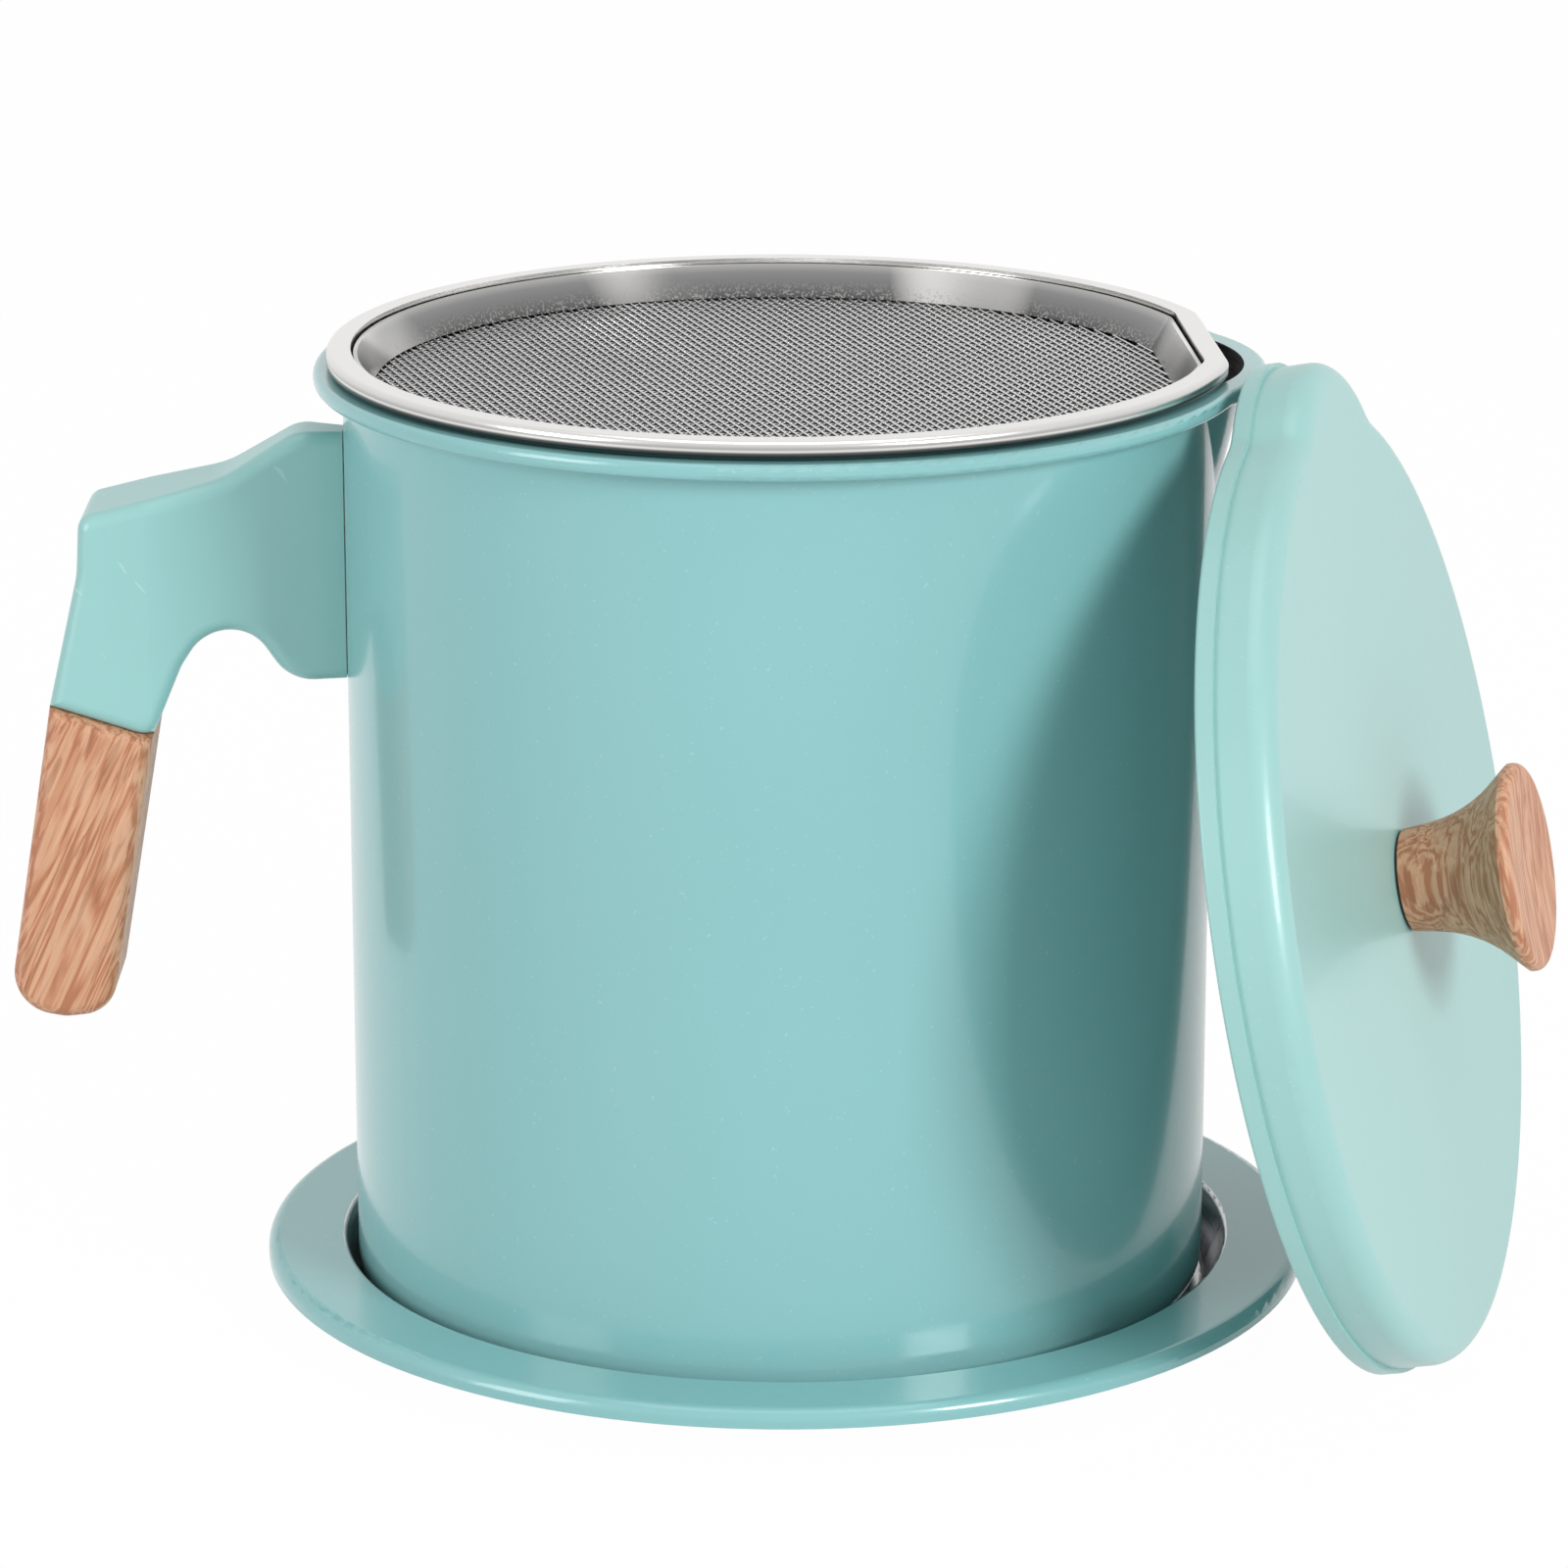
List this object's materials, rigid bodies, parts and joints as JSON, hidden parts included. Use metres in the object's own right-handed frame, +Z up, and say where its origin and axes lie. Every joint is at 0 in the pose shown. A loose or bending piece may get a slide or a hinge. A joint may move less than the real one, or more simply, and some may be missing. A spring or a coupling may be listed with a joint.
{
  "type": "grease keeper",
  "caption": "Lidded grease pot with a pouring beak and side handle, standing in a wide tray with a mesh strainer in its mouth and the lid leaning beside it.",
  "frame": {"origin": "centre of the tray's underside, on the table", "axes": "+Z up, +X towards the pouring beak, +Y away from the pictured side"},
  "size_m": [0.2319, 0.1782, 0.1473],
  "materials": {
    "tray_dish": "glossy aqua paint outside, bare steel in the well",
    "pot_shell": "glossy aqua paint outside, bare steel inside",
    "handle_bracket": "plain",
    "handle_arm": "satin aqua",
    "handle_screw": "plain",
    "handle_grip": "satin, oiled",
    "grip_screw": "plain",
    "strainer_rim": "satin",
    "strainer_mesh": "woven wire",
    "lid_shell": "glossy aqua paint outside, bare steel inside",
    "knob_washer": "dark",
    "lid_knob": "satin, oiled",
    "knob_insert": "plain",
    "knob_screw": "plain"
  },
  "bodies": {
    "tray": {"tray_dish": "tray_dish"},
    "pot": {"pot_shell": "pot_shell", "handle_bracket": "handle_bracket", "handle_arm": "handle_arm", "handle_screw": "handle_screw", "handle_grip": "handle_grip", "grip_screw": "grip_screw"},
    "strainer": {"strainer_rim": "strainer_rim", "strainer_mesh": "strainer_mesh"},
    "lid": {"lid_shell": "lid_shell", "knob_washer": "knob_washer", "lid_knob": "lid_knob", "knob_insert": "knob_insert", "knob_screw": "knob_screw"}
  },
  "joints": [
    {"name": "pot_lift", "type": "slide", "parent": "tray", "child": "pot", "axis": [0, 0, 1], "range_m": [0, 0.16]},
    {"name": "strainer_lift", "type": "slide", "parent": "pot", "child": "strainer", "axis": [0, 0, 1], "range_m": [0, 0.045]},
    {"name": "lid_lift", "type": "slide", "parent": "tray", "child": "lid", "axis": [0, 0, 1], "range_m": [0, 0.165]}
  ]
}
